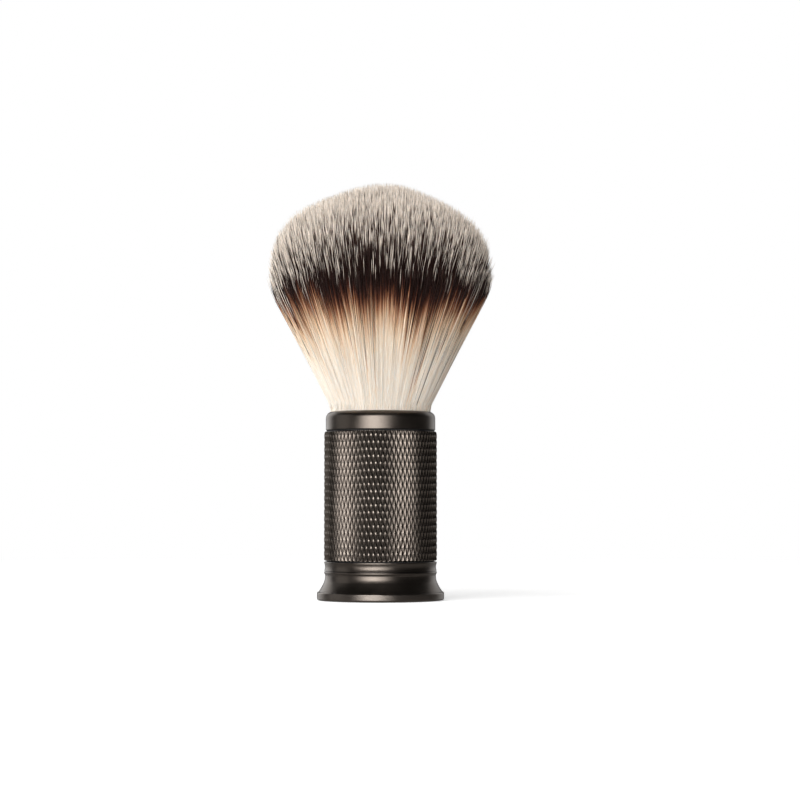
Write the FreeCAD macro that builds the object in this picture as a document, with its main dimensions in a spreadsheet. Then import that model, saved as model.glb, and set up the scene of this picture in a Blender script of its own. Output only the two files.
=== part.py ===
"""Shaving brush with a screw-in head: a bulb of two-tone fibres in a turned collar,
on a knurled grip over a steel core, standing on a flared foot.

Frame: +Z up along the brush's axis, origin on the axis at the face it stands on.
Lengths are in millimetres. "_r" is a radius and "_z" is a height above the origin.
"""
import FreeCAD, Part
import math
import os

import Sketcher

SHEET = "Sizes"
DRIVING = {
    # the whole brush
    "brush_height": 105.0,
    "handle_height": 47.4,
    # the fibres
    "knot_r": 12.0,
    "bloom_r": 28.2,
    "bulb_shoulder_r": 17.6,
    "bulb_crown_r": 34.0,
    "knot_root_z": 38.0,
    "root_waist_r": 11.2,
    "root_waist_length": 2.2,
    # the thread whipped round the fibre roots
    "binding_cord_r": 0.3,
    "binding_pitch": 0.62,
    # the cup that the fibres are potted in
    "cup_r": 12.85,
    "cup_floor_z": 31.9,
    "cup_floor_thickness": 2.1,
    "shank_major_r": 6.0,
    "shank_length": 7.6,
    # the collar
    "collar_r": 13.8,
    "collar_height": 4.7,
    "collar_shoulder_round": 1.68,
    "collar_lip_height": 0.9,
    # the grip sleeve
    "sleeve_r": 14.2,
    "sleeve_bore_r": 13.0,
    "sleeve_bottom_z": 10.0,
    "sleeve_top_z": 42.35,
    "sleeve_edge_chamfer": 0.25,
    # seals
    "seal_inner_r": 13.05,
    "seal_outer_r": 13.6,
    "ring_cord_r": 0.5,
    "ring_groove_width": 1.2,
    "upper_ring_z": 28.0,
    "lower_ring_z": 13.5,
    # the steel core
    "core_r": 12.9,
    "core_top_z": 31.5,
    "core_bottom_z": 9.7,
    "core_socket_depth": 9.0,
    "core_tapped_depth": 9.7,
    "core_chamfer": 0.4,
    # the foot ring
    "foot_ring_r": 14.15,
    "foot_ring_cove_depth": 0.2,
    "foot_ring_land_height": 0.2,
    "foot_ring_edge_chamfer": 0.1,
    "foot_ring_bore_r": 11.45,
    "seam_width": 0.22,
    "seam_depth": 0.3,
    # the foot
    "lip_r": 16.0,
    "lip_band_top_z": 1.8,
    "lip_bottom_round": 0.5,
    "lip_top_round": 0.4,
    "foot_bottom_z": 0.1,
    "flare_round": 11.9,
    "flare_top_r": 14.19,
    "flare_top_z": 4.71,
    "neck_fillet": 3.6,
    "neck_r": 13.95,
    "neck_z": 6.0,
    "neck_groove_round": 1.2,
    "neck_bead_r": 14.0,
    "neck_bead_z": 6.62,
    "neck_bead_round": 0.5,
    "foot_top_r": 14.1,
    "foot_top_z": 7.24,
    "foot_spigot_r": 11.4,
    # the screw that clamps the foot to the core
    "screw_r": 2.5,
    "screw_length": 14.0,
    "screw_head_r": 4.75,
    "screw_head_height": 2.75,
    "screw_key_width": 3.0,
    "screw_key_depth": 1.7,
    "screw_clearance_r": 2.75,
    "counterbore_r": 5.25,
    "counterbore_top_z": 6.4,
    "washer_r": 5.0,
    "washer_thickness": 0.8,
    "spring_washer_r": 4.6,
    "spring_washer_thickness": 1.2,
    # the rubber pad under the foot
    "pad_r": 12.9,
    "pad_recess_r": 13.0,
    "pad_thickness": 1.4,
    # fits between pieces that slide, screw or press together
    "thread_clearance": 0.05,
    "potting_gap": 0.05,
    "press_gap": 0.02,
}
SPRING_WASHER_TURN = 345.0  # degrees of the full circle, which leaves the split
BINDING_TURNS = 3
HEXAGON_SIDES = 6
LEAST_SIZE = 1e-6  # below this a coordinate lies on the axis or on the base plane


class Length:
    """A number of millimetres that knows the spreadsheet formula it comes from."""

    def __init__(self, value, formula):
        self.value = value
        self.formula = formula

    def __add__(self, other):
        other = as_length(other)
        return Length(self.value + other.value, f"({self.formula} + {other.formula})")

    def __sub__(self, other):
        other = as_length(other)
        return Length(self.value - other.value, f"({self.formula} - {other.formula})")

    def __mul__(self, factor):
        return Length(self.value * factor, f"({self.formula} * {factor})")


def as_length(number):
    return number if isinstance(number, Length) else Length(float(number), f"{float(number)}")


ZERO = as_length(0.0)


class Sizes:
    """The driving dimensions, each as a Length that names its cell."""

    def __init__(self, doc):
        self.sheet = doc.addObject("Spreadsheet::Sheet", SHEET)
        for row, (alias, number) in enumerate(DRIVING.items(), start=1):
            self.sheet.set(f"A{row}", alias)
            self.sheet.set(f"B{row}", str(number))
            self.sheet.setAlias(f"B{row}", alias)
        doc.recompute()

    def __getattr__(self, alias):
        if alias not in DRIVING:
            raise AttributeError(alias)
        return Length(self.sheet.get(alias), f"{SHEET}.{alias}")


# ---------------------------------------------------------------- sketches and bodies


def origin_plane(body, role):
    return next(f for f in body.Origin.OriginFeatures if f.Role == role)


def new_body(doc, label):
    body = doc.addObject("PartDesign::Body", label)
    body.Label = label
    return body


def new_sketch(body, name, plane="XZ_Plane"):
    """A sketch on one of the body's own planes. On XZ_Plane its x is the radius and its y the height."""
    sketch = body.newObject("Sketcher::SketchObject", name)
    sketch.AttachmentSupport = (origin_plane(body, plane), [""])
    sketch.MapMode = "FlatFace"
    return sketch


def bind(sketch, kind, elements, length):
    """Adds a dimension to the sketch and ties it to the spreadsheet."""
    index = sketch.addConstraint(Sketcher.Constraint(kind, *elements, length.value))
    sketch.setExpression(f"Constraints[{index}]", length.formula)


def fix_point(sketch, geometry, end, radius, height):
    """Holds one end of an edge at a radius and a height."""
    if abs(radius.value) < LEAST_SIZE:
        sketch.addConstraint(Sketcher.Constraint("PointOnObject", geometry, end, -2))
    else:
        bind(sketch, "DistanceX", (-1, 1, geometry, end), radius)
    if abs(height.value) < LEAST_SIZE:
        sketch.addConstraint(Sketcher.Constraint("PointOnObject", geometry, end, -1))
    else:
        bind(sketch, "DistanceY", (-1, 1, geometry, end), height)


def arc_through(start, end, radius, counterclockwise):
    """The shorter arc of that radius from start to end, and which of its ends is start."""
    chord = end - start
    middle = (start + end) * 0.5
    side = FreeCAD.Vector(-chord.y, chord.x, 0).normalize()
    rise = math.sqrt(max(radius**2 - (chord.Length / 2) ** 2, 0.0))
    centre = middle + side * (rise if counterclockwise else -rise)
    first, last = (start, end) if counterclockwise else (end, start)
    angles = [math.atan2(p.y - centre.y, p.x - centre.x) for p in (first, last)]
    circle = Part.Circle(centre, FreeCAD.Vector(0, 0, 1), radius)
    return Part.ArcOfCircle(circle, angles[0], angles[1]), (1 if counterclockwise else 2)


def draw_outline(sketch, corners):
    """Draws a closed outline of corners (radius, height) joined by straight edges.

    A third entry is the radius of an arc that replaces the edge to the next corner, and a
    fourth is True where that arc turns counterclockwise.
    """
    points = [FreeCAD.Vector(c[0].value, c[1].value, 0) for c in corners]
    starts, ends = [], []
    for i, corner in enumerate(corners):
        here, there = points[i], points[(i + 1) % len(points)]
        if len(corner) > 2:
            arc, start = arc_through(here, there, corner[2].value, corner[3])
            edge = sketch.addGeometry(arc)
            starts.append((edge, start))
            ends.append((edge, 3 - start))
        else:
            edge = sketch.addGeometry(Part.LineSegment(here, there))
            starts.append((edge, 1))
            ends.append((edge, 2))
    for i, corner in enumerate(corners):
        sketch.addConstraint(Sketcher.Constraint("Coincident", *ends[i - 1], *starts[i]))
        fix_point(sketch, *starts[i], corner[0], corner[1])
    for i, corner in enumerate(corners):
        if len(corner) > 2:
            bind(sketch, "Radius", (starts[i][0],), corner[2])


def revolve(body, sketch, turn=360.0):
    feature = body.newObject("PartDesign::Revolution", "Turned")
    feature.Profile = sketch
    feature.ReferenceAxis = (sketch, ["V_Axis"])
    feature.Angle = turn
    sketch.Visibility = False
    return feature


def turned(doc, label, corners, turn=360.0):
    """A body turned about Z from one closed outline."""
    body = new_body(doc, label)
    sketch = new_sketch(body, "Outline")
    draw_outline(sketch, corners)
    revolve(body, sketch, turn)
    return body


def ring_of(doc, label, inner, outer, bottom, top, turn=360.0):
    """A plain flat ring."""
    return turned(doc, label, [(inner, bottom), (outer, bottom), (outer, top), (inner, top)], turn)


def torus(doc, name, ring_radius, cord_radius, height):
    ring = doc.addObject("Part::Torus", name)
    ring.Label = name
    ring.setExpression("Radius1", ring_radius.formula)
    ring.setExpression("Radius2", cord_radius.formula)
    ring.setExpression("Placement.Base.z", height.formula)
    return ring


# ---------------------------------------------------------------- the head, which unscrews


def bristle_knot(doc, size):
    """The fibres as one closed solid: roots in the cup, straight flanks, and a domed bulb."""
    body = new_body(doc, "bristle_knot")
    sketch = new_sketch(body, "Outline")
    waist_top = size.knot_root_z + size.root_waist_length
    exit_z = size.handle_height

    crown_z = size.brush_height.value - size.bulb_crown_r.value
    shoulder = FreeCAD.Vector(size.bloom_r.value - size.bulb_shoulder_r.value, 0, 0)
    reach = size.bulb_crown_r.value - size.bulb_shoulder_r.value
    shoulder.y = crown_z + math.sqrt(reach**2 - shoulder.x**2)
    start = FreeCAD.Vector(size.knot_r.value, exit_z.value, 0)
    to_centre = shoulder - start
    off = math.asin(size.bulb_shoulder_r.value / to_centre.Length)
    slope = math.atan2(to_centre.y, to_centre.x) - off
    flank = math.sqrt(to_centre.Length**2 - size.bulb_shoulder_r.value**2)
    flank_end = start + FreeCAD.Vector(math.cos(slope), math.sin(slope), 0) * flank
    join_angle = math.atan2(shoulder.y - crown_z, shoulder.x)
    upward = FreeCAD.Vector(0, 0, 1)
    flank_angle = math.atan2(flank_end.y - shoulder.y, flank_end.x - shoulder.x)
    crown_centre = FreeCAD.Vector(0, crown_z, 0)
    apex = FreeCAD.Vector(0, size.brush_height.value, 0)

    corners = [
        (ZERO, size.knot_root_z),
        (size.root_waist_r, size.knot_root_z),
        (size.root_waist_r, waist_top),
        (size.knot_r, waist_top),
        (size.knot_r, exit_z),
    ]
    points = [FreeCAD.Vector(r.value, z.value, 0) for r, z in corners]
    for here, there in zip(points, points[1:]):
        sketch.addGeometry(Part.LineSegment(here, there))
    side = sketch.addGeometry(Part.LineSegment(points[-1], flank_end))
    shoulder_circle = Part.Circle(shoulder, upward, size.bulb_shoulder_r.value)
    bulb = sketch.addGeometry(Part.ArcOfCircle(shoulder_circle, flank_angle, join_angle))
    crown_circle = Part.Circle(crown_centre, upward, size.bulb_crown_r.value)
    crown = sketch.addGeometry(Part.ArcOfCircle(crown_circle, join_angle, math.pi / 2))
    axis = sketch.addGeometry(Part.LineSegment(apex, points[0]))

    for edge, (r, z) in enumerate(corners):
        fix_point(sketch, edge, 1, r, z)
    for edge in range(len(corners) - 1):
        sketch.addConstraint(Sketcher.Constraint("Coincident", edge, 2, edge + 1, 1))
    sketch.addConstraint(Sketcher.Constraint("Tangent", side, 2, bulb, 1))
    sketch.addConstraint(Sketcher.Constraint("Tangent", bulb, 2, crown, 1))
    sketch.addConstraint(Sketcher.Constraint("Coincident", crown, 2, axis, 1))
    sketch.addConstraint(Sketcher.Constraint("Coincident", axis, 2, 0, 1))
    sketch.addConstraint(Sketcher.Constraint("PointOnObject", crown, 3, -2))
    fix_point(sketch, crown, 2, ZERO, size.brush_height)
    bind(sketch, "Radius", (bulb,), size.bulb_shoulder_r)
    bind(sketch, "Radius", (crown,), size.bulb_crown_r)
    bind(sketch, "DistanceX", (-1, 1, bulb, 3), size.bloom_r - size.bulb_shoulder_r)
    revolve(body, sketch)
    return body


def knot_binding(doc, size):
    """Three turns of whipping thread in the waist above the resin."""
    turns = []
    for i in range(BINDING_TURNS):
        height = size.knot_root_z + size.binding_pitch * (i + 0.75)
        ring_radius = size.root_waist_r + size.binding_cord_r + size.press_gap
        turns.append(torus(doc, f"binding_turn_{i + 1}", ring_radius, size.binding_cord_r, height))
    group = doc.addObject("Part::Compound", "knot_binding")
    group.Label = "knot_binding"
    group.Links = turns
    return group


def resin_plug(doc, size):
    """The cured resin that holds the fibre roots on the cup's floor."""
    floor = size.cup_floor_z + size.cup_floor_thickness
    rim = size.knot_r + size.press_gap
    edge = 0.4
    return turned(doc, "resin_plug", [
        (ZERO, floor),
        (rim - edge, floor),
        (rim, floor + edge),
        (rim, size.knot_root_z),
        (ZERO, size.knot_root_z),
    ])


def knot_cup(doc, size):
    """The moulded cup round the roots, with the threaded shank that screws into the core."""
    top = size.handle_height - size.collar_lip_height
    floor_top = size.cup_floor_z + size.cup_floor_thickness
    bore_r = size.knot_r + size.potting_gap
    shank_bottom = size.cup_floor_z - size.shank_length
    lead = 0.6
    relief = 0.5
    return turned(doc, "knot_cup", [
        (ZERO, shank_bottom),
        (size.shank_major_r - lead, shank_bottom),
        (size.shank_major_r, shank_bottom + lead),
        (size.shank_major_r, size.cup_floor_z - relief),
        (size.shank_major_r - relief, size.cup_floor_z - relief),
        (size.shank_major_r - relief, size.cup_floor_z),
        (size.cup_r - lead, size.cup_floor_z),
        (size.cup_r, size.cup_floor_z + lead),
        (size.cup_r, top),
        (bore_r, top),
        (bore_r, floor_top),
        (ZERO, floor_top),
    ])


def collar(doc, size):
    """The turned ring over the cup's rim, with a full round shoulder and a lip round the fibres."""
    top = size.handle_height
    bottom = top - size.collar_height
    lip_r = size.knot_r + size.potting_gap
    lip_bottom = top - size.collar_lip_height
    fit_r = size.cup_r + size.press_gap
    edge = 0.15
    shoulder = size.collar_shoulder_round
    return turned(doc, "collar", [
        (fit_r, bottom),
        (size.collar_r - edge, bottom),
        (size.collar_r, bottom + edge),
        (size.collar_r, top - shoulder, shoulder, True),
        (size.collar_r - shoulder, top),
        (lip_r, top),
        (lip_r, lip_bottom),
        (fit_r, lip_bottom),
    ])


def head_seal(doc, size):
    """The flat rubber seal between the collar and the grip."""
    bottom = size.sleeve_top_z
    top = size.handle_height - size.collar_height
    return ring_of(doc, "head_seal", size.seal_inner_r, size.seal_outer_r, bottom, top)


# ---------------------------------------------------------------- the handle


def grip_sleeve(doc, size):
    """The knurled tube, drawn at the diameter over the knurl's crests."""
    bottom, top = size.sleeve_bottom_z, size.sleeve_top_z
    edge = size.sleeve_edge_chamfer
    bore, outside = size.sleeve_bore_r, size.sleeve_r
    return turned(doc, "grip_sleeve", [
        (bore, bottom),
        (outside - edge, bottom),
        (outside, bottom + edge),
        (outside, top - edge),
        (outside - edge, top),
        (bore, top),
    ])


def ballast_core(doc, size):
    """The steel core: ballast, spine of the handle, and nut for both screws."""
    bottom, top = size.core_bottom_z, size.core_top_z
    outside, edge = size.core_r, size.core_chamfer
    groove_r = outside - size.ring_cord_r * 2
    half_groove = size.ring_groove_width * 0.5
    socket_r = size.shank_major_r + size.thread_clearance
    socket_bottom = top - size.core_socket_depth
    tapped_r = size.screw_r + size.press_gap
    tapped_top = bottom + size.core_tapped_depth
    corners = [
        (ZERO, tapped_top),
        (tapped_r, tapped_top),
        (tapped_r, bottom),
        (outside - edge, bottom),
        (outside, bottom + edge),
    ]
    for ring_z in (size.lower_ring_z, size.upper_ring_z):
        corners += [
            (outside, ring_z - half_groove),
            (groove_r, ring_z - half_groove),
            (groove_r, ring_z + half_groove),
            (outside, ring_z + half_groove),
        ]
    corners += [
        (outside, top - edge),
        (outside - edge, top),
        (socket_r + edge, top),
        (socket_r, top - edge),
        (socket_r, socket_bottom),
        (ZERO, socket_bottom),
    ]
    return turned(doc, "ballast_core", corners)


def sleeve_ring(doc, size, name, height):
    """An O-ring in the core's groove, which centres the sleeve and stops it rattling."""
    ring_radius = size.sleeve_bore_r - size.ring_cord_r - size.press_gap
    return torus(doc, name, ring_radius, size.ring_cord_r, height)


def sleeve_gasket(doc, size):
    """The flat rubber gasket between the sleeve and the foot ring."""
    bottom, top = size.core_bottom_z, size.sleeve_bottom_z
    return ring_of(doc, "sleeve_gasket", size.seal_inner_r, size.seal_outer_r, bottom, top)


def foot_ring(doc, size):
    """The coved ring between the grip and the foot, with the fine seam at its lower edge."""
    bottom, top = size.foot_top_z, size.core_bottom_z
    outside, edge = size.foot_ring_r, size.foot_ring_edge_chamfer
    seam_r = outside - size.seam_depth
    cove_bottom = bottom + size.seam_width
    cove_top = top - edge - size.foot_ring_land_height
    cove_r = cove_radius(cove_top.value - cove_bottom.value, size.foot_ring_cove_depth.value)
    return turned(doc, "foot_ring", [
        (size.foot_ring_bore_r, bottom),
        (seam_r, bottom),
        (seam_r, cove_bottom),
        (outside, cove_bottom, as_length(cove_r), False),
        (outside, cove_top),
        (outside, top - edge),
        (outside - edge, top),
        (size.foot_ring_bore_r, top),
    ])


def cove_radius(height, depth):
    """The radius of a hollow of that height and depth."""
    return (height**2 / 4 + depth**2) / (2 * depth)


def foot(doc, size):
    """The flared foot: lip, flare, neck bead, and a spigot that centres the foot ring."""
    bottom, top = size.foot_bottom_z, size.foot_top_z
    lip_r, lip_top = size.lip_r, size.lip_band_top_z
    lower, upper = size.lip_bottom_round, size.lip_top_round
    return turned(doc, "foot", [
        (size.pad_recess_r, bottom),
        (lip_r - lower, bottom, lower, True),
        (lip_r, bottom + lower),
        (lip_r, lip_top, upper, True),
        (lip_r - upper, lip_top + upper, size.flare_round, False),
        (size.flare_top_r, size.flare_top_z, size.neck_fillet, False),
        (size.neck_r, size.neck_z, size.neck_groove_round, False),
        (size.neck_bead_r, size.neck_bead_z, size.neck_bead_round, True),
        (size.foot_top_r, top),
        (size.foot_spigot_r, top),
        (size.foot_spigot_r, size.core_bottom_z),
        (size.screw_clearance_r, size.core_bottom_z),
        (size.screw_clearance_r, size.counterbore_top_z),
        (size.counterbore_r, size.counterbore_top_z),
        (size.counterbore_r, size.pad_thickness),
        (size.pad_recess_r, size.pad_thickness),
    ])


def clamp_screw(doc, size):
    """The button-head screw that pulls the foot and its ring up to the core."""
    seat = size.counterbore_top_z - size.washer_thickness - size.spring_washer_thickness
    head_bottom = seat - size.screw_head_height
    tip = seat + size.screw_length
    point = 0.5
    rim = 0.6
    dome = 5.2
    body = turned(doc, "clamp_screw", [
        (ZERO, head_bottom),
        (size.screw_key_width, head_bottom, as_length(dome), True),
        (size.screw_head_r, seat - rim),
        (size.screw_head_r, seat),
        (size.screw_r, seat),
        (size.screw_r, tip - point),
        (size.screw_r - point, tip),
        (ZERO, tip),
    ])
    sketch = new_sketch(body, "KeySocket", "XY_Plane")
    sketch.setExpression("AttachmentOffset.Base.z", head_bottom.formula)
    corner_r = size.screw_key_width.value / math.sqrt(3)
    turn = 2 * math.pi / HEXAGON_SIDES
    for i in range(HEXAGON_SIDES):
        ends = [(math.cos(k * turn) * corner_r, math.sin(k * turn) * corner_r) for k in (i, i + 1)]
        sketch.addGeometry(Part.LineSegment(*(FreeCAD.Vector(x, y, 0) for x, y in ends)))
    for i in range(HEXAGON_SIDES):
        joined = (i, 2, (i + 1) % HEXAGON_SIDES, 1)
        sketch.addConstraint(Sketcher.Constraint("Coincident", *joined))
    pocket = body.newObject("PartDesign::Pocket", "Key")
    pocket.Profile = sketch
    pocket.setExpression("Length", size.screw_key_depth.formula)
    pocket.Reversed = True
    return body


def plain_washer(doc, size):
    top = size.counterbore_top_z
    bore = size.screw_r + 0.15
    return ring_of(doc, "plain_washer", bore, size.washer_r, top - size.washer_thickness, top)


def spring_washer(doc, size):
    """The split washer under the screw's head."""
    top = size.counterbore_top_z - size.washer_thickness
    bottom = top - size.spring_washer_thickness
    bore = size.screw_r + 0.1
    outside = size.spring_washer_r
    return ring_of(doc, "spring_washer", bore, outside, bottom, top, SPRING_WASHER_TURN)


def base_pad(doc, size):
    """The rubber pad in the foot's recess, a little proud of the metal."""
    edge = 0.2
    return turned(doc, "base_pad", [
        (ZERO, ZERO),
        (size.pad_r - edge, ZERO),
        (size.pad_r, as_length(edge)),
        (size.pad_r, size.pad_thickness),
        (ZERO, size.pad_thickness),
    ])


def build(doc):
    """Every sub-part, in the order that they come off the brush from the top."""
    size = Sizes(doc)
    return [
        bristle_knot(doc, size),
        knot_binding(doc, size),
        resin_plug(doc, size),
        knot_cup(doc, size),
        collar(doc, size),
        head_seal(doc, size),
        grip_sleeve(doc, size),
        ballast_core(doc, size),
        sleeve_ring(doc, size, "upper_o_ring", size.upper_ring_z),
        sleeve_ring(doc, size, "lower_o_ring", size.lower_ring_z),
        sleeve_gasket(doc, size),
        foot_ring(doc, size),
        foot(doc, size),
        plain_washer(doc, size),
        spring_washer(doc, size),
        clamp_screw(doc, size),
        base_pad(doc, size),
    ]


def check(doc, subparts):
    """Stops before anything is written if an object failed or a shape isn't sound."""
    failed = [o.Label for o in doc.Objects if {"Invalid", "Error"} & set(o.State)]
    if failed:
        raise RuntimeError(f"these objects failed to build: {failed}")
    for part in subparts:
        shape = part.Shape
        if shape.isNull() or not shape.isValid() or not shape.Solids:
            raise RuntimeError(f"{part.Label} has no valid solid")


def main():
    doc = FreeCAD.newDocument("shaving_brush")
    subparts = build(doc)
    doc.recompute()
    check(doc, subparts)
    os.makedirs("parts", exist_ok=True)
    for part in subparts:
        part.Shape.exportStep(f"parts/{part.Label}.step")
        print(f"{part.Label}: {len(part.Shape.Solids)} solid(s), {part.Shape.Volume:.1f} mm3")


main()
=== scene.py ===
"""The looks of a shaving brush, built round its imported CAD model.

The fibres are real tapered strands and the knurl is cut into the sleeve's mesh. Every other piece
is the CAD one with its own material. Lengths are in metres. "_r" is a radius.
"""
import math

import bmesh
import bpy
import numpy as np
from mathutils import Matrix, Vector


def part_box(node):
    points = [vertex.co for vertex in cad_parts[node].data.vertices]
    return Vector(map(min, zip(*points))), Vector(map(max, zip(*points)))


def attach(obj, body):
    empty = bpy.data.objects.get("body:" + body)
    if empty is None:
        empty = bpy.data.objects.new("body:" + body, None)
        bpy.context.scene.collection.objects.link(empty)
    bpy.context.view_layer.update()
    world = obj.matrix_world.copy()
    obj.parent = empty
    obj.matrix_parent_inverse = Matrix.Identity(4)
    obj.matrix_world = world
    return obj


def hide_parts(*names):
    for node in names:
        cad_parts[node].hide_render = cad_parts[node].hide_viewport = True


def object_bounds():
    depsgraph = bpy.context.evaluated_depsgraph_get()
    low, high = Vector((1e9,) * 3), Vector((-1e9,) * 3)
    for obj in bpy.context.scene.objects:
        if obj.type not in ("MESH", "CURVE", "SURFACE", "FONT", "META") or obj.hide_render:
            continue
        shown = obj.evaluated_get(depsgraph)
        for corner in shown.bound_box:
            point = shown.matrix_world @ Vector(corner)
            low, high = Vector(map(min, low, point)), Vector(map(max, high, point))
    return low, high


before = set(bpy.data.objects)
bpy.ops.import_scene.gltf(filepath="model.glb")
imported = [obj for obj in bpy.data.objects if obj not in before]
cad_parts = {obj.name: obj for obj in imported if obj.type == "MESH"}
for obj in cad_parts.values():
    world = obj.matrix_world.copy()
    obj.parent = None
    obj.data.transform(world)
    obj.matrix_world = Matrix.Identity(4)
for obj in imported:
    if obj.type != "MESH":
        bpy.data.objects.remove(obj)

cad_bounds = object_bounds()
MM = 0.001
TAU = 2 * math.pi
rng = np.random.default_rng(24)

# ---------------------------------------------------------------- camera, lights and stage

HEIGHT = cad_bounds[1].z
EYE_HEIGHT = 0.2325 * HEIGHT
AIM_HEIGHT = 0.48 * HEIGHT
# the camera looks a little to the brush's right, so the brush stands left of the picture's middle
AIM_SIDE = 4.9 * MM
CAMERA_DISTANCE = 577 * MM
SENSOR_MM = 36.0
LENS_MM = 103.0


def make_camera():
    """A long lens level with the grip, tipped up a little, as in a catalogue picture."""
    data = bpy.data.cameras.new("camera")
    data.sensor_width = SENSOR_MM
    data.lens = LENS_MM
    camera = bpy.data.objects.new("camera", data)
    bpy.context.scene.collection.objects.link(camera)
    camera.location = (0, -CAMERA_DISTANCE, EYE_HEIGHT)
    aim = Vector((AIM_SIDE, 0, AIM_HEIGHT)) - camera.location
    camera.rotation_euler = aim.to_track_quat("-Z", "Y").to_euler()
    bpy.context.scene.camera = camera


def softbox(name, azimuth, elevation, distance, width, height, radiance, reflected=True):
    """A rectangular light that faces the brush.

    Azimuth 0 is the camera's side, and a positive one is to its right. A light that isn't reflected lights
    the matt surfaces only, so the metal doesn't show it.
    """
    data = bpy.data.lights.new(name, "AREA")
    data.shape = "RECTANGLE"
    data.size = width
    data.size_y = height
    data.energy = radiance * 4 * width * height
    light = bpy.data.objects.new(name, data)
    light.visible_camera = False
    light.visible_glossy = reflected
    bpy.context.scene.collection.objects.link(light)
    a, e = math.radians(azimuth), math.radians(elevation)
    direction = Vector((math.sin(a) * math.cos(e), -math.cos(a) * math.cos(e), math.sin(e)))
    light.location = Vector((0, 0, HEIGHT / 2)) + direction * distance
    light.rotation_euler = direction.to_track_quat("Z", "Y").to_euler()


CARD_HEIGHT = 1.0 * MM


def table_card(name, azimuth, near, far, width, radiance):
    """A bright card lying on the table, seen only in reflections."""
    softbox(name, azimuth, 0, (near + far) / 2, width, far - near, radiance)
    card = bpy.data.objects[name]
    card.visible_diffuse = False
    card.location.z = CARD_HEIGHT
    card.rotation_euler = (math.pi, 0, math.radians(azimuth))


def make_lights():
    """A wide key at the front left, brightest in its middle, with cards on the table under it.

    Dim panels stand at the sides and back. The fills are for the fibres, and don't show in the metal.
    """
    softbox("key_wide", -14, 7.5, 0.82, 1.00, 0.28, 2.0)
    softbox("key_middle", -14, 7.5, 0.80, 0.66, 0.27, 2.5)
    softbox("key_core", -15, 7.5, 0.78, 0.34, 0.26, 3.0)
    table_card("near_card", -14, 0.046, 0.062, 0.040, 1.2)
    table_card("middle_card", -14, 0.062, 0.150, 0.100, 3.0)
    table_card("far_card", -14, 0.150, 0.340, 0.240, 3.0)
    softbox("left_panel", -88, 8, 0.90, 0.60, 0.70, 0.5)
    softbox("back_left_panel", -142, 6, 0.90, 0.60, 0.90, 1.2)
    softbox("back_right_panel", 142, 6, 0.90, 0.55, 0.90, 0.7)
    softbox("front_fill", -22, 6, 1.00, 0.90, 0.70, 4.2, reflected=False)
    softbox("right_fill", 45, 6, 1.00, 0.90, 0.70, 0.4, reflected=False)
    softbox("side_fill", 125, 15, 1.00, 0.90, 0.70, 0.9, reflected=False)
    softbox("top_fill", -45, 55, 0.90, 0.70, 0.50, 2.7, reflected=False)


def sorted_by_ray(tree, seen, unseen):
    """One shader for what the camera sees directly, another for everything that is lit by it."""
    path = tree.nodes.new("ShaderNodeLightPath")
    mix = tree.nodes.new("ShaderNodeMixShader")
    tree.links.new(path.outputs["Is Camera Ray"], mix.inputs["Fac"])
    tree.links.new(unseen, mix.inputs[1])
    tree.links.new(seen, mix.inputs[2])
    return mix.outputs["Shader"]


def make_world():
    """A white backdrop in a dim studio."""
    world = bpy.data.worlds.new("studio")
    bpy.context.scene.world = world
    world.use_nodes = True
    tree = world.node_tree
    tree.nodes.clear()
    backdrop = add(tree, "ShaderNodeBackground", {"Color": (1, 1, 1, 1), "Strength": 1.0})
    room = add(tree, "ShaderNodeBackground", {"Color": (1, 0.98, 0.95, 1), "Strength": 0.055})
    shader = sorted_by_ray(tree, backdrop.outputs[0], room.outputs[0])
    add(tree, "ShaderNodeOutputWorld", {"Surface": shader})


FLOOR_R = 5.0
FLOOR_Z = -0.02 * MM
# the floor is lit paint near the brush, and plain white from the second distance on
FLOOR_FADE = (80 * MM, 450 * MM)


def make_floor():
    """A pale floor that runs into the backdrop."""
    bpy.ops.mesh.primitive_circle_add(
        vertices=96, radius=FLOOR_R, fill_type="NGON", location=(0, 0, FLOOR_Z))
    floor = bpy.context.object
    floor.name = "floor"
    material, tree, output = new_material("floor_paint")
    tree.nodes.remove(tree.nodes["Principled BSDF"])
    place = add(tree, "ShaderNodeTexCoord").outputs["Object"]
    distance = add(tree, "ShaderNodeVectorMath", {0: place}, operation="LENGTH").outputs["Value"]
    fade = add(tree, "ShaderNodeMapRange", {
        "Value": distance, "From Min": FLOOR_FADE[0], "From Max": FLOOR_FADE[1]})
    painted = add(tree, "ShaderNodeBsdfDiffuse", {"Color": (0.82, 0.82, 0.82, 1)})
    glow = add(tree, "ShaderNodeEmission", {"Color": (1, 1, 1, 1), "Strength": 0.53})
    lit = add(tree, "ShaderNodeAddShader", {0: painted.outputs[0], 1: glow.outputs[0]})
    white = add(tree, "ShaderNodeEmission", {"Color": (1, 1, 1, 1), "Strength": 1.0})
    seen = add(tree, "ShaderNodeMixShader", {0: fade.outputs[0], 1: lit.outputs[0], 2: white.outputs[0]})
    unseen = add(tree, "ShaderNodeBsdfPrincipled", {
        "Base Color": (0.45, 0.44, 0.43, 1), "Roughness": 0.22, "IOR": 1.35})
    tree.links.new(sorted_by_ray(tree, seen.outputs[0], unseen.outputs[0]), output.inputs["Surface"])
    floor.data.materials.append(material)


# ---------------------------------------------------------------- materials


def add(tree, kind, inputs=None, **settings):
    """Adds a shader node. Each input is a value, or an output socket to link from."""
    node = tree.nodes.new(kind)
    for key, value in settings.items():
        setattr(node, key, value)
    for key, value in (inputs or {}).items():
        if isinstance(value, bpy.types.NodeSocket):
            tree.links.new(value, node.inputs[key])
        else:
            node.inputs[key].default_value = value
    return node


def new_material(name):
    material = bpy.data.materials.new(name)
    material.use_nodes = True
    tree = material.node_tree
    return material, tree, tree.nodes["Material Output"]


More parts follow.
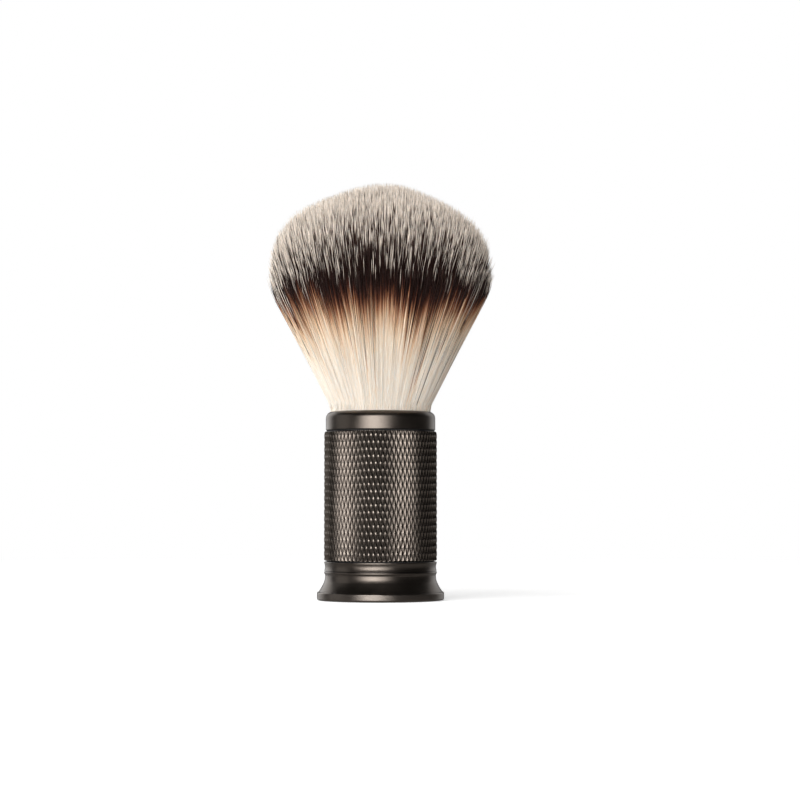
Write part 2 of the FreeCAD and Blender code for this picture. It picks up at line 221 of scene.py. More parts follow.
def principled(name, **values):
    """A material whose shader's plain values are set, and its tree and shader."""
    material, tree, _ = new_material(name)
    shader = tree.nodes["Principled BSDF"]
    for socket, value in values.items():
        shader.inputs[socket.replace("_", " ").title().replace("Ior", "IOR")].default_value = value
    return material, tree, shader


def ramp(tree, factor, stops):
    """A colour ramp through (position, colour) stops."""
    node = add(tree, "ShaderNodeValToRGB", {"Fac": factor})
    elements = node.color_ramp.elements
    while len(elements) < len(stops):
        elements.new(0.5)
    for element, (position, colour) in zip(elements, stops):
        element.position = position
        element.color = (*colour, 1)
    return node.outputs["Color"]


def object_place(tree, scale=(1, 1, 1)):
    """Object coordinates times a scale."""
    place = add(tree, "ShaderNodeTexCoord").outputs["Object"]
    return add(tree, "ShaderNodeMapping", {"Vector": place, "Scale": scale}).outputs["Vector"]


def noise(tree, vector, scale, detail=2.0, roughness=0.5):
    return add(tree, "ShaderNodeTexNoise", {
        "Vector": vector, "Scale": scale, "Detail": detail, "Roughness": roughness}).outputs["Fac"]


def cells(tree, scale):
    """The distance to the middle of the nearest of many small cells."""
    place = object_place(tree)
    return add(tree, "ShaderNodeTexVoronoi", {"Vector": place, "Scale": scale}).outputs["Distance"]


def math_node(tree, operation, a, b=0.0):
    return add(tree, "ShaderNodeMath", {0: a, 1: b}, operation=operation).outputs[0]


def remap(tree, value, low, high, to_low, to_high):
    return add(tree, "ShaderNodeMapRange", {
        "Value": value, "From Min": low, "From Max": high,
        "To Min": to_low, "To Max": to_high}).outputs["Result"]


def mix_colour(tree, factor, a, b, blend="MIX"):
    node = add(tree, "ShaderNodeMix", data_type="RGBA", blend_type=blend, clamp_factor=True)
    for index, value in ((0, factor), (6, a), (7, b)):
        if isinstance(value, bpy.types.NodeSocket):
            tree.links.new(value, node.inputs[index])
        else:
            node.inputs[index].default_value = value if index == 0 else (*value, 1)
    return node.outputs[2]


def bump(tree, shader, height, strength, distance):
    node = add(tree, "ShaderNodeBump", {"Height": height, "Strength": strength, "Distance": distance})
    tree.links.new(node.outputs["Normal"], shader.inputs["Normal"])


LIP_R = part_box("foot")[1].x
# the middle of the seam between the foot and its ring, and a radius inside both pieces' outer skin there
SEAM_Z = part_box("foot_ring")[0].z + 0.11 * MM
SEAM_INSIDE_R = LIP_R - 3.6 * MM


def dark_anodised():
    """Turned aluminium, bead-blasted and anodised a warm gunmetal."""
    material, tree, shader = principled("dark_anodised", metallic=1.0)
    grain = noise(tree, object_place(tree), 14000.0, detail=3.0)
    rings = noise(tree, object_place(tree, (40, 40, 9000)), 1.0, detail=4.0)
    cloud = noise(tree, object_place(tree), 220.0, detail=3.0)
    base = ramp(tree, cloud, [(0.3, (0.092, 0.078, 0.067)), (0.7, (0.110, 0.093, 0.080))])
    speck = remap(tree, noise(tree, object_place(tree), 5200.0, detail=1.0), 0.68, 0.75, 0.0, 0.35)
    colour = mix_colour(tree, speck, base, (0.19, 0.17, 0.155))
    # the foot's lip is painted brighter, a painted highlight
    place = add(tree, "ShaderNodeSeparateXYZ", {0: object_place(tree)})
    flat = add(tree, "ShaderNodeCombineXYZ", {0: place.outputs["X"], 1: place.outputs["Y"]}).outputs[0]
    radius = add(tree, "ShaderNodeVectorMath", {0: flat}, operation="LENGTH").outputs["Value"]
    lip_highlight = remap(tree, radius, LIP_R - 0.45 * MM, LIP_R - 0.05 * MM, 0.0, 1.0)
    colour = mix_colour(tree, lip_highlight, colour, (0.140, 0.121, 0.106))
    # the seam above the neck is painted near black, a painted shade in the groove
    above = remap(tree, place.outputs["Z"], SEAM_Z - 0.10 * MM, SEAM_Z - 0.06 * MM, 0.0, 1.0)
    below = remap(tree, place.outputs["Z"], SEAM_Z + 0.06 * MM, SEAM_Z + 0.12 * MM, 1.0, 0.0)
    outside = remap(tree, radius, SEAM_INSIDE_R, SEAM_INSIDE_R + 0.1 * MM, 0.0, 1.0)
    seam_shade = math_node(tree, "MULTIPLY", math_node(tree, "MULTIPLY", above, below), outside)
    colour = mix_colour(tree, seam_shade, colour, (0.016, 0.014, 0.013))
    tree.links.new(colour, shader.inputs["Base Color"])
    rough = remap(tree, cloud, 0.3, 0.7, 0.28, 0.34)
    tree.links.new(rough, shader.inputs["Roughness"])
    relief = math_node(tree, "ADD", math_node(tree, "MULTIPLY", rings, 0.6), grain)
    bump(tree, shader, relief, 0.12, 0.01 * MM)
    return material


def knurled_anodised():
    """The same finish on the knurl, painted darker in the grooves as painted shade and brighter on the crests
    as a painted highlight.
    """
    material, tree, shader = principled("knurled_anodised", metallic=1.0)
    crest = add(tree, "ShaderNodeAttribute", attribute_name="crest").outputs["Fac"]
    grain = noise(tree, object_place(tree), 9000.0, detail=3.0)
    patch = noise(tree, object_place(tree), 160.0, detail=3.0)
    # painted shade: near black in the grooves; painted highlight: brightest on the crests
    base = ramp(tree, crest, [
        (0.0, (0.018, 0.015, 0.013)), (0.35, (0.128, 0.108, 0.092)), (1.0, (0.228, 0.196, 0.169))])
    worn = remap(tree, patch, 0.35, 0.7, 0.86, 1.14)
    tint = add(tree, "ShaderNodeCombineColor", {0: worn, 1: worn, 2: worn}).outputs[0]
    tree.links.new(mix_colour(tree, 1.0, base, tint, "MULTIPLY"), shader.inputs["Base Color"])
    tree.links.new(remap(tree, grain, 0.3, 0.7, 0.20, 0.29), shader.inputs["Roughness"])
    bump(tree, shader, grain, 0.15, 0.01 * MM)
    return material


def turned_steel():
    """Bright turned steel with the tool's rings."""
    material, tree, shader = principled("turned_steel", metallic=1.0)
    rings = noise(tree, object_place(tree, (30, 30, 6000)), 1.0, detail=4.0)
    stain = noise(tree, object_place(tree), 130.0, detail=4.0)
    colour = ramp(tree, stain, [(0.3, (0.36, 0.35, 0.335)), (0.75, (0.55, 0.545, 0.53))])
    tree.links.new(colour, shader.inputs["Base Color"])
    tree.links.new(remap(tree, rings, 0.3, 0.7, 0.22, 0.42), shader.inputs["Roughness"])
    bump(tree, shader, rings, 0.35, 0.02 * MM)
    return material


def plated_steel():
    """Zinc plate: pale, slightly blue, with a faint yellow passivate."""
    material, tree, shader = principled("plated_steel", metallic=1.0)
    cloud = noise(tree, object_place(tree), 380.0, detail=3.0)
    grain = noise(tree, object_place(tree), 9000.0, detail=2.0)
    colour = ramp(tree, cloud, [
        (0.3, (0.56, 0.58, 0.60)), (0.55, (0.66, 0.67, 0.66)), (0.8, (0.68, 0.65, 0.55))])
    tree.links.new(colour, shader.inputs["Base Color"])
    tree.links.new(remap(tree, grain, 0.3, 0.7, 0.24, 0.36), shader.inputs["Roughness"])
    bump(tree, shader, grain, 0.2, 0.01 * MM)
    return material


def black_rubber():
    """Matt moulded rubber with a dusty bloom."""
    material, tree, shader = principled("black_rubber", specular_ior_level=0.15)
    grain = noise(tree, object_place(tree), 6000.0, detail=4.0)
    bloom = noise(tree, object_place(tree), 260.0, detail=4.0)
    colour = ramp(tree, bloom, [(0.35, (0.008, 0.008, 0.009)), (0.8, (0.022, 0.021, 0.020))])
    tree.links.new(colour, shader.inputs["Base Color"])
    tree.links.new(remap(tree, grain, 0.3, 0.7, 0.62, 0.85), shader.inputs["Roughness"])
    bump(tree, shader, grain, 0.3, 0.03 * MM)
    return material


def moulded_nylon():
    """Black moulded nylon with a fine spark-eroded grain."""
    material, tree, shader = principled("moulded_nylon")
    grain = cells(tree, 4200.0)
    cloud = noise(tree, object_place(tree), 300.0, detail=3.0)
    colour = ramp(tree, cloud, [(0.3, (0.020, 0.020, 0.022)), (0.8, (0.042, 0.041, 0.042))])
    tree.links.new(colour, shader.inputs["Base Color"])
    tree.links.new(remap(tree, grain, 0.0, 0.6, 0.38, 0.52), shader.inputs["Roughness"])
    bump(tree, shader, grain, 0.25, 0.02 * MM)
    return material


def cured_resin():
    """Amber resin with small bubbles."""
    material, tree, shader = principled("cured_resin", roughness=0.16)
    bubbles = cells(tree, 900.0)
    cloud = noise(tree, object_place(tree), 200.0, detail=3.0)
    tint = ramp(tree, cloud, [(0.3, (0.36, 0.20, 0.07)), (0.75, (0.55, 0.34, 0.14))])
    rim = remap(tree, bubbles, 0.05, 0.16, 0.55, 0.0)
    tree.links.new(mix_colour(tree, rim, tint, (0.72, 0.56, 0.34)), shader.inputs["Base Color"])
    bump(tree, shader, bubbles, 0.25, 0.05 * MM)
    return material


def waxed_thread():
    """Off-white twisted thread."""
    material, tree, shader = principled("waxed_thread", roughness=0.6)
    twist = add(tree, "ShaderNodeTexWave", {
        "Vector": object_place(tree, (1, 1, 1)), "Scale": 900.0, "Distortion": 2.0},
        bands_direction="DIAGONAL").outputs["Fac"]
    colour = ramp(tree, twist, [(0.1, (0.44, 0.38, 0.29)), (0.7, (0.74, 0.69, 0.59))])
    tree.links.new(colour, shader.inputs["Base Color"])
    bump(tree, shader, twist, 0.5, 0.04 * MM)
    return material


DYE_BOTTOM = 0.038
DYE_TOP = 0.106
# heights up the brush, in millimetres, and the fibre's own colour there
DYE_STOPS = [
    (38.0, (0.80, 0.75, 0.67)),
    (50.0, (0.88, 0.82, 0.735)),
    (58.0, (0.94, 0.87, 0.77)),
    (64.5, (0.93, 0.80, 0.64)),
    (68.3, (0.80, 0.56, 0.36)),
    (71.0, (0.40, 0.175, 0.090)),
    (73.4, (0.075, 0.023, 0.014)),
    (76.0, (0.015, 0.0060, 0.0048)),
    (84.0, (0.014, 0.0062, 0.0050)),
    (88.0, (0.040, 0.0220, 0.0175)),
    (91.0, (0.045, 0.0270, 0.0220)),
    (93.5, (0.17, 0.125, 0.105)),
    (96.5, (0.555, 0.485, 0.430)),
    (101.0, (0.74, 0.664, 0.582)),
    (105.0, (0.78, 0.708, 0.632)),
]


def two_tone_fibre():
    """Dyed synthetic fibre. The map named OFBake holds each fibre's tone and its height in the dye; both also
    carry painted light: painted shade on recessed clumps, painted shadow strands on the right flank, and a
    painted rim light on the left edge.
    """
    material, tree, shader = principled("two_tone_fibre", roughness=0.38, specular_ior_level=0.10)
    fibre_map = add(tree, "ShaderNodeUVMap", uv_map="OFBake").outputs["UV"]
    split = add(tree, "ShaderNodeSeparateXYZ", {0: fibre_map})
    tone, dye = split.outputs["X"], split.outputs["Y"]
    span = (DYE_TOP - DYE_BOTTOM) / MM
    stops = [((z - DYE_BOTTOM / MM) / span, colour) for z, colour in DYE_STOPS]
    colour = ramp(tree, dye, stops)
    in_tip = remap(tree, dye, (TIP_START_Z - DYE_BOTTOM) / (DYE_TOP - DYE_BOTTOM), 0.86, 0.0, 1.0)
    # in the pale tips the tone, with its painted shade of recessed clumps, is spread wider
    spread = remap(tree, in_tip, 0.0, 1.0, 0.26, 0.62)
    shade = math_node(tree, "MULTIPLY_ADD", math_node(tree, "SUBTRACT", tone, 0.85), spread)
    shade.node.inputs[2].default_value = 1.03
    warm = remap(tree, noise(tree, fibre_map, 37.0, detail=1.0), 0.35, 0.65, 0.93, 1.03)
    tint = add(tree, "ShaderNodeCombineColor", {
        0: shade, 1: math_node(tree, "MULTIPLY", shade, warm),
        2: math_node(tree, "MULTIPLY", shade, math_node(tree, "MULTIPLY", warm, warm))}).outputs[0]
    tree.links.new(mix_colour(tree, 1.0, colour, tint, "MULTIPLY"), shader.inputs["Base Color"])
    return material


# ---------------------------------------------------------------- mesh helpers


def object_from_arrays(name, vertices, quads, triangles, material, uv=None):
    """A smooth mesh from numpy arrays of points, quads and triangles."""
    mesh = bpy.data.meshes.new(name)
    mesh.vertices.add(len(vertices))
    mesh.vertices.foreach_set("co", np.ascontiguousarray(vertices, np.float32).ravel())
    corners = np.concatenate([quads.ravel(), triangles.ravel()]).astype(np.int32)
    sizes = np.concatenate([np.full(len(quads), 4), np.full(len(triangles), 3)])
    mesh.loops.add(len(corners))
    mesh.loops.foreach_set("vertex_index", corners)
    mesh.polygons.add(len(sizes))
    mesh.polygons.foreach_set("loop_start", np.concatenate([[0], np.cumsum(sizes)[:-1]]).astype(np.int32))
    mesh.update(calc_edges=True)
    mesh.polygons.foreach_set("use_smooth", np.ones(len(sizes), bool))
    if uv is not None:
        layer = mesh.uv_layers.new(name="OFBake")
        layer.data.foreach_set("uv", np.ascontiguousarray(uv[corners], np.float32).ravel())
    mesh.materials.append(material)
    piece = bpy.data.objects.new(name, mesh)
    bpy.context.scene.collection.objects.link(piece)
    return piece


def finish_piece(piece, body, slot, *nodes):
    """Puts a piece on its body, in place of the CAD nodes it stands for."""
    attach(piece, body)
    if nodes:
        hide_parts(*nodes)


# ---------------------------------------------------------------- the fibres

FIBRE_COUNT = 34000
CLUMP_COUNT = 17000
FIBRE_PIECES = 14
FIBRE_R = 0.064 * MM
# a strand thins to this radius over its last few millimetres, and then closes to a point
TIP_R = 0.048 * MM
TIP_LENGTH = 4.0 * MM
# points along a strand, and how many of the steps between them lie in its pale end
FIBRE_RINGS = 12
TIP_STEPS = 4
# how far below their tips the strands of a clump start to gather
CLUMP_REACH = 7.0 * MM
# how far above the collar a strand has become free to lean and wave
FREE_LENGTH = 36 * MM
WAVE_LENGTH = 9 * MM
# the share of the clumps that reach the dome, and of the strands that stop short or stand out
FULL_HEIGHT_SHARE = 0.4
STUNTED_SHARE = 0.08
STRAY_SHARE = 0.003
# (a clump's distance from the axis as a share of the knot's radius, the share of its strands that are cut)
CUT_SHARES = [(0.0, 0.15), (0.50, 0.20), (0.65, 0.33), (0.78, 0.54), (0.88, 0.78), (1.0, 0.97)]
LONGEST_PALE_END = 24 * MM
# the pale tip starts this far up the dye map, and the fibre is palest at the map's top
TIP_START_Z = 91.0 * MM


def knot_outline():
    """The CAD knot's outline above its roots: heights, and the radius at each."""
    points = np.array([v.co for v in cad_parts["bristle_knot"].data.vertices])
    radii = np.hypot(points[:, 0], points[:, 1])
    heights = np.unique(np.round(points[:, 2], 6))
    widest = np.array([radii[abs(points[:, 2] - z) < 2e-6].max() for z in heights])
    return heights, widest


def nearest(points, centres):
    """The index of the centre nearest each point."""
    found = np.empty(len(points), int)
    for start in range(0, len(points), 2000):
        block = points[start:start + 2000]
        gaps = ((block[:, None, :] - centres[None, :, :]) ** 2).sum(2)
        found[start:start + 2000] = gaps.argmin(1)
    return found


def disc_points(count):
    """Points spread evenly over the unit disc, jittered off a sunflower's spiral."""
    index = np.arange(count) + 0.5
    radius = np.sqrt(index / count)
    angle = index * math.pi * (3 - math.sqrt(5))
    points = np.stack([radius * np.cos(angle), radius * np.sin(angle)], 1)
    points += rng.normal(0, 0.35 / math.sqrt(count), points.shape)
    return points / np.maximum(1, np.hypot(*points.T))[:, None]


def smooth_step(value):
    value = np.clip(value, 0, 1)
    return value * value * (3 - 2 * value)


def slow_waves(points, count, length, size):
    """A smooth random height over the plane, from a few waves in random directions."""
    total = np.zeros(len(points))
    for _ in range(count):
        angle, phase = rng.uniform(0, TAU, 2)
        along = points @ np.array([math.cos(angle), math.sin(angle)])
        total += size * np.sin(along * TAU / (length * rng.uniform(0.7, 1.4)) + phase)
    return total


def fan_and_dome():
    """The outermost fibre's radius at each height, and the height at which the dome cuts each share of it."""
    heights, widest = knot_outline()
    bloom_z = heights[widest.argmax()]
    top_z = heights[-1]
    # past the widest part of the bulb the outermost fibres would keep opening, ever more slowly
    above = np.linspace(bloom_z - 3 * MM, top_z, 60)
    flank_r = np.interp(above[0], heights, widest)
    opened = flank_r + 0.46 * (above - above[0]) - 0.0075 / MM * (above - above[0]) ** 2
    below = heights < above[0]
    fan_z = np.concatenate([heights[below], above])
    fan_r = np.concatenate([widest[below], opened])
    dome_z = np.linspace(bloom_z - 1.0 * MM, top_z, 200)
    dome_share = np.interp(dome_z, heights, widest) / np.interp(dome_z, fan_z, fan_r)
    dome_share[-1] = 0.0
    return fan_z, fan_r, dome_z, dome_share


def tip_heights(share, clump_share, clump_length):
    """The height of each fibre's tip under the dome."""
    _, _, dome_z, dome_share = fan_and_dome()
    top_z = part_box("bristle_knot")[1].z
    middle = 0.5 * (share + clump_share)
    tip_z = np.interp(-middle, -dome_share, dome_z)
    tip_z += clump_length - np.abs(rng.normal(0, 0.09 * MM, FIBRE_COUNT))
    stunted = rng.random(FIBRE_COUNT) < STUNTED_SHARE
    tip_z[stunted] -= rng.exponential(1.2 * MM, stunted.sum())
    return np.minimum(tip_z, top_z + 0.2 * MM)


def cut_and_pale_ends(tip_z, side, clump_share, clump):
    """Which fibres are cut, with their tips lowered in place, and how long each fibre's pale end is.

    The bulb is trimmed to shape, so fewer of the outer fibres keep their pale ends, least of all in front.
    Down the left edge some pale ends are lengthened as a painted rim light.
    """
    cut_share = np.interp(clump_share, *np.transpose(CUT_SHARES))
    cut_share += 0.06 - (0.38 - 0.12 * side) * side ** 2
    by_clump = rng.random(FIBRE_COUNT) < 0.5
    luck = np.where(by_clump, rng.random(CLUMP_COUNT)[clump], rng.random(FIBRE_COUNT))
    cut = luck < cut_share
    tip_z[cut] -= 0.4 * MM + rng.exponential(1.4 * MM, cut.sum())
    pale_end = (2.4 * MM + rng.exponential(1.3 * MM, CLUMP_COUNT)[clump]
                + rng.exponential(1.2 * MM, FIBRE_COUNT))
    long_end = rng.random(FIBRE_COUNT) < 0.28 + 0.25 * np.abs(side)
    pale_end[long_end] += rng.exponential(4.0 * MM, long_end.sum()) * (1 + 0.8 * np.abs(side[long_end]))
    # a few strands down the left edge are painted pale for much of their length, a painted rim light
    painted_rim_light = (side < -0.93) & (rng.random(FIBRE_COUNT) < 0.30)
    cut &= ~painted_rim_light
    pale_end[painted_rim_light] += rng.uniform(4 * MM, 14 * MM, FIBRE_COUNT)[painted_rim_light]
    return cut, np.minimum(pale_end, LONGEST_PALE_END)


def dye_and_shadow_offsets(root, clump):
    """How much further down than its neighbours each fibre carries its dark dye, with some strands on the
    right flank darkened as painted shadow.
    """
    side = root[:, 0]
    late = rng.random(FIBRE_COUNT) < 0.20
    offset = rng.normal(-1.0 * MM, 1.2 * MM, FIBRE_COUNT)
    offset[late] += rng.exponential(3.4 * MM, late.sum()) * (1 + 1.6 * np.maximum(0, side[late]) ** 2)
    offset += rng.normal(0, 1.1 * MM, CLUMP_COUNT)[clump] + slow_waves(root, 6, 0.30, 0.35 * MM)
    # the dark band sags a little, right of the front's middle
    offset += 1.6 * MM * np.exp(-((side - 0.42) / 0.22) ** 2)
    # single strands down the right flank are painted dark almost to the root, as painted shadow lines between
    # strands
    painted_shadow_strand = rng.random(FIBRE_COUNT) < 0.12 * smooth_step((side - 0.35) / 0.4)
    offset[painted_shadow_strand] += rng.uniform(4 * MM, 24 * MM, painted_shadow_strand.sum())
    return offset


def fibre_paths():
    """Each fibre's points from root to tip, and each point's place on the dye and tone; the tone holds
    painted shade on the clumps that stand lower.
    """
    fan_z, fan_r, _, _ = fan_and_dome()
    root_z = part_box("bristle_knot")[0].z
    exit_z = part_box("collar")[1].z
    exit_r = np.interp(exit_z, fan_z, fan_r)

    root = disc_points(FIBRE_COUNT)
    side = root[:, 0]
    centres = disc_points(CLUMP_COUNT)
    clump = nearest(root, centres)
    clump_share = np.hypot(*centres.T)[clump]
    # the tallest clumps reach the dome and the rest stop short of it, so the outline stays crisp
    full_height = rng.random(CLUMP_COUNT) < FULL_HEIGHT_SHARE
    clump_depth = np.where(full_height, 0.12, 1.5) * np.abs(rng.normal(0, MM, CLUMP_COUNT))
    clump_depth = clump_depth[clump]
    clump_length = slow_waves(root, 5, 0.55, 0.20 * MM) - clump_depth
    clump_lean = rng.normal(0, 0.006, (CLUMP_COUNT, 2))[clump]
    pull = rng.uniform(0.25, 0.65, CLUMP_COUNT)[clump]

    tip_z = tip_heights(np.hypot(*root.T), clump_share, clump_length)
    stray = rng.random(FIBRE_COUNT) < STRAY_SHARE
    curl = rng.normal(0, 0.007, (FIBRE_COUNT, 2))
    curl[stray] *= 4.5
    wave_phase = rng.uniform(0, TAU, (FIBRE_COUNT, 2))
    wave_size = rng.normal(0, 0.07 * MM, (FIBRE_COUNT, 2))
    cut, pale_end = cut_and_pale_ends(tip_z, side, clump_share, clump)

    # how far each point is along the pale end, and along the rest of the fibre below it
    steps = np.arange(FIBRE_RINGS)
    body_steps = FIBRE_RINGS - 1 - TIP_STEPS
    into_tip = np.maximum(0, steps - body_steps) / TIP_STEPS
    to_tip = np.minimum(1, steps / body_steps)
    z = root_z + (tip_z - pale_end - root_z)[:, None] * to_tip + pale_end[:, None] * into_tip
    grown = np.interp(z, fan_z, fan_r - 1.1 * FIBRE_R)
    grown = np.where(z < exit_z, exit_r - 1.1 * FIBRE_R, grown)
    free = smooth_step((z - exit_z) / FREE_LENGTH)
    near_tip = smooth_step(1 - (tip_z[:, None] - z) / CLUMP_REACH)
    gathered = (pull[:, None] * near_tip)[..., None]
    across = root[:, None, :] * (1 - gathered) + centres[clump][:, None, :] * gathered
    across = across * grown[..., None]
    lean = (clump_lean + curl)[:, None, :] * (free * (z - exit_z))[..., None]
    wave = wave_size[:, None, :] * np.sin(wave_phase[:, None, :] + z[..., None] / WAVE_LENGTH)
    paths = np.concatenate([across + lean + wave * free[..., None], z[..., None]], 2)

    dye = np.minimum(z + dye_and_shadow_offsets(root, clump)[:, None], TIP_START_Z - 3 * MM)
    # a cut fibre near the axis keeps a trace of its pale end, and one further out keeps none
    paleness = np.where(cut, 0.30 * np.clip(1 - clump_share / 0.75, 0, 1), 1.0)[:, None]
    pale = TIP_START_Z + into_tip * paleness * (DYE_TOP - TIP_START_Z)
    dye = np.where((into_tip > 0) & (paleness > 0), pale, dye)
    fibre_tone = rng.normal(0.6, 0.24, FIBRE_COUNT)[:, None]
    # clumps that stand lower are painted darker, a painted shade, on top of their random tone
    clump_tone_and_shade = (0.92 - 0.30 * clump_depth / MM + rng.normal(0, 0.14, CLUMP_COUNT)[clump])[:, None]
    tone = fibre_tone + (clump_tone_and_shade - fibre_tone) * 0.75 * near_tip
    return paths, dye, np.clip(tone, 0.02, 0.98)


def fibre_mesh(name, paths, dye, tone, material):
    """Closed three-sided strands that thin towards their tips and end in a point.

    A strand's map has its tone across it, a hair wider than nothing so that it has an area, and its place
    on the dye along it.
    """
    count, rings, _ = paths.shape
    along = np.gradient(paths, axis=1)
    along /= np.linalg.norm(along, axis=2, keepdims=True)
    turn = rng.uniform(0, TAU, count)
    reference = np.stack([np.cos(turn), np.sin(turn), np.zeros(count)], 1)[:, None, :]
    side = np.cross(along, reference)
    side /= np.linalg.norm(side, axis=2, keepdims=True)
    other = np.cross(along, side)
    to_tip = paths[:, -1:, 2] - paths[:, :, 2]
    thickness = TIP_R + (FIBRE_R - TIP_R) * np.clip(to_tip / TIP_LENGTH, 0, 1) ** 0.7
    angles = np.arange(3) * TAU / 3
    ring = side[:, :-1, None, :] * np.cos(angles)[:, None] + other[:, :-1, None, :] * np.sin(angles)[:, None]
    ring = paths[:, :-1, None, :] + ring * thickness[:, :-1, None, None]
    body_points = (rings - 1) * 3
    points = np.concatenate([ring.reshape(count, body_points, 3), paths[:, -1:, :]], 1)
    per_fibre = body_points + 1
    v = np.clip((dye - DYE_BOTTOM) / (DYE_TOP - DYE_BOTTOM), 0.002, 0.998)
    v = np.concatenate([np.repeat(v[:, :-1], 3, 1), v[:, -1:]], 1)
    u = np.concatenate([np.repeat(tone[:, :-1], 3, 1), tone[:, -1:]], 1)
    u += (np.arange(per_fibre) % 3 - 1) * 0.002
    level = np.arange(rings - 2)[:, None] * 3
    corner = np.arange(3)[None, :]
    following = (corner + 1) % 3
    quad = np.stack([level + corner, level + following, level + 3 + following, level + 3 + corner], 2)
    last = (rings - 2) * 3
    cone = np.stack([last + corner[0], last + following[0], np.full(3, body_points)], 1)
    triangle = np.concatenate([cone, [[2, 1, 0]]])
    base = (np.arange(count) * per_fibre)[:, None, None]
    quads = (quad.reshape(1, -1, 4) + base).reshape(-1, 4)
    triangles = (triangle[None] + base).reshape(-1, 3)
    uv = np.stack([u, v], 2).reshape(-1, 2)
    return object_from_arrays(name, points.reshape(-1, 3), quads, triangles, material, uv)


def make_fibres():
    """All the fibres, split into pieces by their place round the axis."""
    paths, dye, tone = fibre_paths()
    material = two_tone_fibre()
    angle = np.arctan2(paths[:, 0, 1], paths[:, 0, 0]) % TAU
    sector = np.minimum((angle / TAU * FIBRE_PIECES).astype(int), FIBRE_PIECES - 1)
    for number in range(FIBRE_PIECES):
        chosen = sector == number
        piece = fibre_mesh(f"fibres_{number + 1}", paths[chosen], dye[chosen], tone[chosen], material)
        finish_piece(piece, "head", "fibres", "bristle_knot")


# ---------------------------------------------------------------- the knurled sleeve

KNURL_ROUND = 76
KNURL_HEIGHT = 3.47 * MM
KNURL_DEPTH = 0.27 * MM
# (share of the way from a diamond's centre to its corner, share of the knurl's depth, crest mask)
KNURL_STEPS = [(1.0, 1.0, 0.0), (0.95, 0.98, 0.05), (0.26, 0.07, 0.60), (0.19, 0.0, 1.0)]
SLEEVE_CHAMFER = 0.25 * MM
SLEEVE_BORE_R = 13.0 * MM


def knurl_cells(low, high, outside):
    """Truncated diamonds all over the sleeve, past both ends: points, crest mask, and faces."""
    points, masks, faces, known = [], [], [], {}

    def vertex(column, row, radius, mask):
        key = (round(column % (2 * KNURL_ROUND), 4), round(row, 4))
        if key not in known:
            known[key] = len(points)
            angle = key[0] / (2 * KNURL_ROUND) * TAU
            points.append((radius * math.cos(angle), radius * math.sin(angle), low + row * KNURL_HEIGHT / 2))
            masks.append(mask)
        return known[key]

    rows = math.ceil((high - low) / (KNURL_HEIGHT / 2)) + 1
    for row in range(-1, rows + 1):
        for column in range(row % 2, 2 * KNURL_ROUND, 2):
            loops = []
            for share, depth, mask in KNURL_STEPS:
                radius = outside - KNURL_DEPTH * depth
                around = ((share, 0), (0, share), (-share, 0), (0, -share))
                loops.append([vertex(column + x, row + y, radius, mask) for x, y in around])
            for outer, inner in zip(loops, loops[1:]):
                for i in range(4):
                    faces.append((outer[i], outer[(i + 1) % 4], inner[(i + 1) % 4], inner[i]))
            faces.append(tuple(loops[-1]))
    return points, masks, faces


def close_end(mesh, edges, height, bore):
    """Turns a cut end in to the bore, and returns the edges of the new inner rim."""
    made = bmesh.ops.extrude_edge_only(mesh, edges=edges)["geom"]
    for v in (g for g in made if isinstance(g, bmesh.types.BMVert)):
        scale = bore / math.hypot(v.co.x, v.co.y)
        v.co = (v.co.x * scale, v.co.y * scale, height)
    return [g for g in made if isinstance(g, bmesh.types.BMEdge) and g.is_boundary]


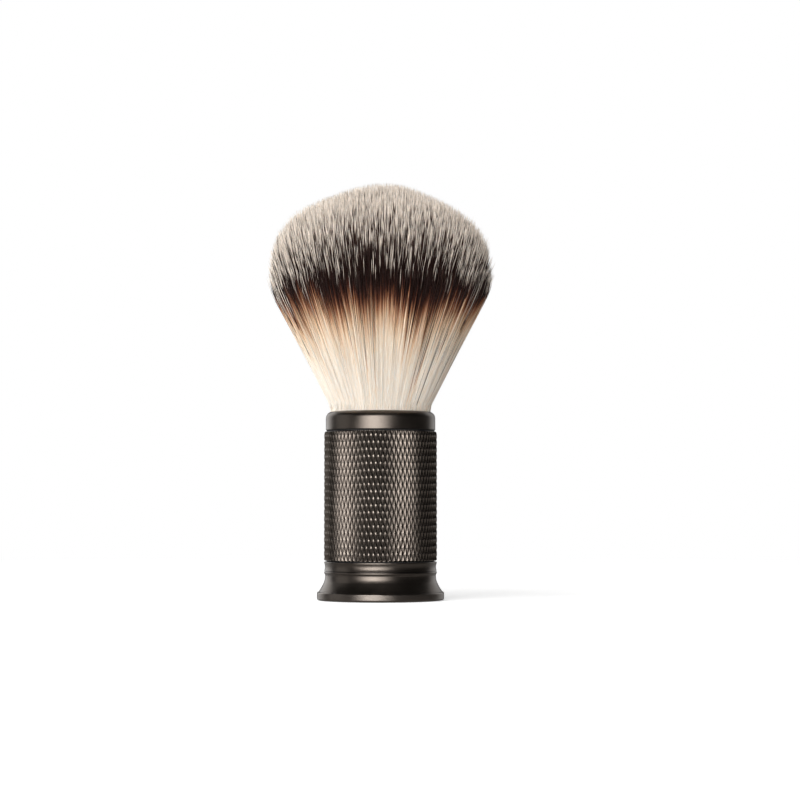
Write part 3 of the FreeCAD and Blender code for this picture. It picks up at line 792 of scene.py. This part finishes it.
def make_sleeve():
    """The grip's tube with its knurl cut in the surface."""
    low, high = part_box("grip_sleeve")
    points, masks, faces = knurl_cells(low.z, high.z, high.x)
    mesh = bmesh.new()
    crest = mesh.verts.layers.float.new("crest")
    for point, mask in zip(points, masks):
        mesh.verts.new(point)[crest] = mask
    mesh.verts.ensure_lookup_table()
    for face in faces:
        mesh.faces.new([mesh.verts[i] for i in face])
    for height, direction in ((low.z, -1), (high.z, 1)):
        geometry = mesh.verts[:] + mesh.edges[:] + mesh.faces[:]
        bmesh.ops.bisect_plane(mesh, geom=geometry, plane_co=(0, 0, height), plane_no=(0, 0, direction),
                               dist=1e-8, clear_outer=True)
        inner = height - direction * SLEEVE_CHAMFER
        geometry = mesh.verts[:] + mesh.edges[:] + mesh.faces[:]
        bmesh.ops.bisect_plane(mesh, geom=geometry, plane_co=(0, 0, inner), plane_no=(0, 0, direction),
                               dist=1e-8)
    for v in mesh.verts:
        to_end = min(v.co.z - low.z, high.z - v.co.z)
        limit = high.x - max(0.0, SLEEVE_CHAMFER - to_end)
        radius = math.hypot(v.co.x, v.co.y)
        if radius > limit:
            v.co.x *= limit / radius
            v.co.y *= limit / radius
    rims = []
    for height in (low.z, high.z):
        edges = [e for e in mesh.edges
                 if e.is_boundary and all(abs(v.co.z - height) < 1e-7 for v in e.verts)]
        rims += close_end(mesh, edges, height, SLEEVE_BORE_R)
    bmesh.ops.bridge_loops(mesh, edges=rims)
    bmesh.ops.recalc_face_normals(mesh, faces=mesh.faces[:])
    data = bpy.data.meshes.new("knurled_sleeve")
    mesh.to_mesh(data)
    mesh.free()
    data.materials.append(knurled_anodised())
    piece = bpy.data.objects.new("knurled_sleeve", data)
    bpy.context.scene.collection.objects.link(piece)
    finish_piece(piece, "handle", "knurled_anodised", "grip_sleeve")


# ---------------------------------------------------------------- the CAD pieces' materials


def paint_cad_pieces():
    """Gives every CAD piece that stays its own material."""
    anodised, steel, plated = dark_anodised(), turned_steel(), plated_steel()
    rubber, nylon = black_rubber(), moulded_nylon()
    finishes = {
        "collar": anodised, "foot_ring": anodised, "foot": anodised,
        "ballast_core": steel,
        "clamp_screw": plated, "plain_washer": plated, "spring_washer": plated,
        "head_seal": rubber, "sleeve_gasket": rubber, "upper_o_ring": rubber, "lower_o_ring": rubber,
        "base_pad": rubber,
        "knot_cup": nylon,
        "resin_plug": cured_resin(),
        "knot_binding": waxed_thread(),
    }
    for node, material in finishes.items():
        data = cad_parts[node].data
        data.materials.clear()
        data.materials.append(material)


# ---------------------------------------------------------------- the scene

bpy.context.scene.view_settings.view_transform = "Standard"
make_camera()
make_lights()
make_world()
make_floor()
paint_cad_pieces()
make_sleeve()
make_fibres()
